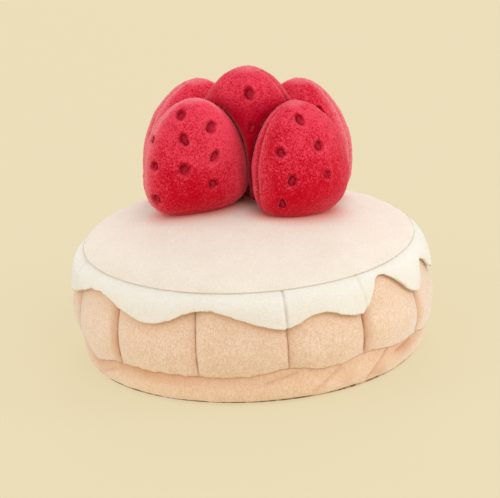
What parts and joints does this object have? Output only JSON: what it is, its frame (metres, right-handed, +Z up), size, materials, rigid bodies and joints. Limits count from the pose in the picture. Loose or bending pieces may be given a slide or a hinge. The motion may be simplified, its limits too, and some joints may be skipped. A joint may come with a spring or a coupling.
{
  "type": "plush strawberry tart toy",
  "caption": "Stuffed plush toy of a round strawberry tart: quilted crust, cream with a dripping hem, strawberries on top.",
  "frame": {"origin": "middle of the underside", "axes": "+Z up through the middle of the tart, -Y towards its front, +X to the right seen from the front"},
  "size_m": [0.1198, 0.1199, 0.0952],
  "materials": {
    "crust_base": "short plush pile, darker tan",
    "crust": "short plush pile, pale tan",
    "cream": "short plush pile, off-white",
    "cream_top": "short plush pile, pale cream",
    "berry": "velvet pile, strawberry red"
  },
  "bodies": {
    "root": {"crust_base": "crust_base", "crust_wall": "crust", "cream_skirt": "cream", "cream_top": "cream_top", "berry_front_left": "berry", "berry_front_right": "berry", "berry_back_left": "berry", "berry_back_right": "berry", "berry_centre": "berry"}
  },
  "joints": []
}
